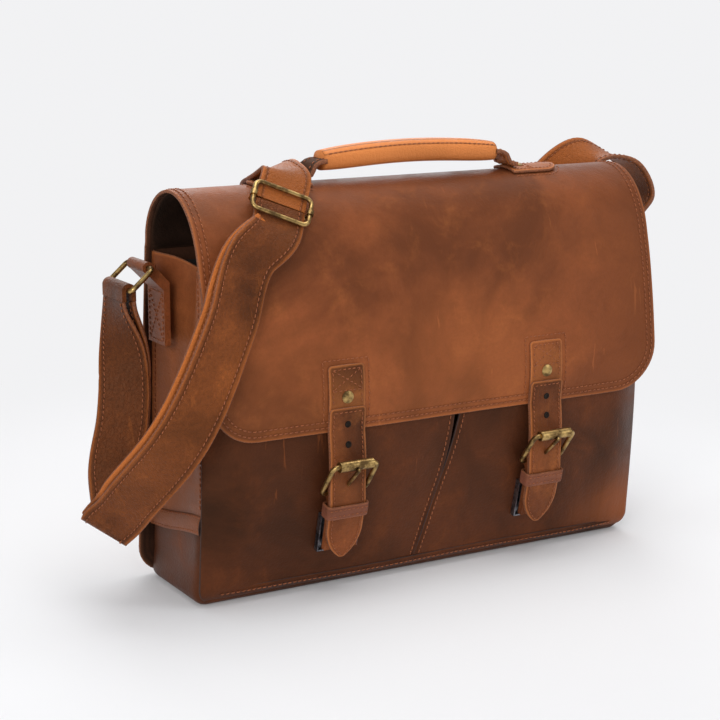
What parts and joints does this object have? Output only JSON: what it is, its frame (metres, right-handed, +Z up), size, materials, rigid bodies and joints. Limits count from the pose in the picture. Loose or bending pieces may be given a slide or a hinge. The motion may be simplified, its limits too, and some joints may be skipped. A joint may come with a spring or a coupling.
{
  "type": "leather briefcase",
  "caption": "Soft leather briefcase with a turn-over flap, front pockets behind roller-buckle closures, a padded top handle and an adjustable shoulder strap.",
  "frame": {"origin": "centre of the base, on the surface that the bag stands on", "axes": "+X to the bag's right as seen from its front, the front faces -Y, +Z up"},
  "size_m": [0.5383, 0.1532, 0.3401],
  "materials": {
    "body_leather": "waxed pull-up leather with a soft sheen",
    "trim_leather": "waxed leather, burnished cut edges",
    "keeper_leather": "smooth leather, stitched",
    "strap_leather": "oiled leather with visible grain",
    "lining_cloth": "dark woven cloth",
    "board": "matt stiffening board",
    "antique_brass": "antique finish, brushed and darkened",
    "catch_steel": "dull plated steel",
    "magnet": "black"
  },
  "bodies": {
    "bag": {"back_panel": "body_leather", "gusset_left": "body_leather", "gusset_right": "body_leather", "base_panel": "body_leather", "front_wall": "body_leather", "pocket_left": "body_leather", "pocket_right": "body_leather", "lining": "lining_cloth", "divider": "lining_cloth", "base_board": "board", "ring_tab_left": "trim_leather", "ring_tab_right": "trim_leather", "catch_tray_left": "catch_steel", "catch_tray_right": "catch_steel", "catch_magnet_left": "magnet", "catch_magnet_right": "magnet", "strap_hang_left": "strap_leather", "strap_back_run": "strap_leather", "strap_arc_right": "strap_leather"},
    "flap": {"flap": "body_leather", "flap_lining": "lining_cloth", "tongue_left": "trim_leather", "tongue_right": "trim_leather", "tongue_rivet_left": "antique_brass", "tongue_rivet_right": "antique_brass", "buckle_holder_left": "trim_leather", "buckle_holder_right": "trim_leather", "keeper_left": "keeper_leather", "keeper_right": "keeper_leather", "catch_plate_left": "catch_steel", "catch_plate_right": "catch_steel", "handle_tab_left": "trim_leather", "handle_tab_right": "trim_leather", "handle_rivets": "antique_brass", "strap_front_run": "strap_leather", "strap_crossing": "strap_leather"},
    "handle": {"handle_grip": "trim_leather", "handle_end_left": "trim_leather", "handle_end_right": "trim_leather"},
    "ring_left": {"ring_left": "antique_brass", "strap_loop_left": "strap_leather"},
    "ring_right": {"ring_right": "antique_brass", "strap_loop_right": "strap_leather"},
    "buckle_left": {"buckle_left": "antique_brass"},
    "buckle_right": {"buckle_right": "antique_brass"},
    "roller_left": {"roller_left": "antique_brass"},
    "roller_right": {"roller_right": "antique_brass"},
    "prong_left": {"prong_left": "antique_brass"},
    "prong_right": {"prong_right": "antique_brass"},
    "slider": {"slider_frame": "antique_brass"},
    "slider_bar": {"slider_bar": "antique_brass"}
  },
  "joints": [
    {"name": "flap_hinge", "type": "hinge", "parent": "bag", "child": "flap", "pos_m": [0, 0.033, 0.26185], "axis": [-1, 0, 0], "range_deg": [0, 135], "deforming": ["strap_hang_left", "strap_crossing", "strap_back_run", "strap_arc_right", "strap_front_run"]},
    {"name": "handle_hinge", "type": "hinge", "parent": "flap", "child": "handle", "pos_m": [0, -0.016, 0.3147], "axis": [1, 0, 0], "range_deg": [-45, 35], "stiffness_Nm_per_rad": 0.08, "deforming": ["handle_end_left", "handle_end_right"]},
    {"name": "ring_left_hinge", "type": "hinge", "parent": "bag", "child": "ring_left", "pos_m": [-0.215, 0.012, 0.254], "axis": [0, 1, 0], "range_deg": [-25, 40], "deforming": ["strap_hang_left"]},
    {"name": "ring_right_hinge", "type": "hinge", "parent": "bag", "child": "ring_right", "pos_m": [0.215, 0.012, 0.254], "axis": [0, -1, 0], "range_deg": [-25, 40], "deforming": ["strap_arc_right"]},
    {"name": "buckle_left_hinge", "type": "hinge", "parent": "flap", "child": "buckle_left", "pos_m": [-0.091, -0.07442, 0.084], "axis": [-1, 0, 0], "range_deg": [-6, 0]},
    {"name": "roller_left_spin", "type": "hinge", "parent": "buckle_left", "child": "roller_left", "pos_m": [-0.091, -0.0935, 0.10843], "axis": [1, 0, 0], "continuous": true},
    {"name": "prong_left_hinge", "type": "hinge", "parent": "buckle_left", "child": "prong_left", "pos_m": [-0.091, -0.07442, 0.084], "axis": [1, 0, 0], "range_deg": [0, 4]},
    {"name": "buckle_right_hinge", "type": "hinge", "parent": "flap", "child": "buckle_right", "pos_m": [0.091, -0.07442, 0.084], "axis": [-1, 0, 0], "range_deg": [-6, 0]},
    {"name": "roller_right_spin", "type": "hinge", "parent": "buckle_right", "child": "roller_right", "pos_m": [0.091, -0.0935, 0.10843], "axis": [1, 0, 0], "continuous": true},
    {"name": "prong_right_hinge", "type": "hinge", "parent": "buckle_right", "child": "prong_right", "pos_m": [0.091, -0.07442, 0.084], "axis": [1, 0, 0], "range_deg": [0, 4]},
    {"name": "slider_slide", "type": "slide", "parent": "flap", "child": "slider", "axis": [0.4629, 0.5302, 0.7103], "range_m": [-0.006, 0.006]},
    {"name": "slider_bar_slide", "type": "slide", "parent": "slider", "child": "slider_bar", "axis": [0.4629, 0.5302, 0.7103], "range_m": [-0.004, 0.004]}
  ]
}
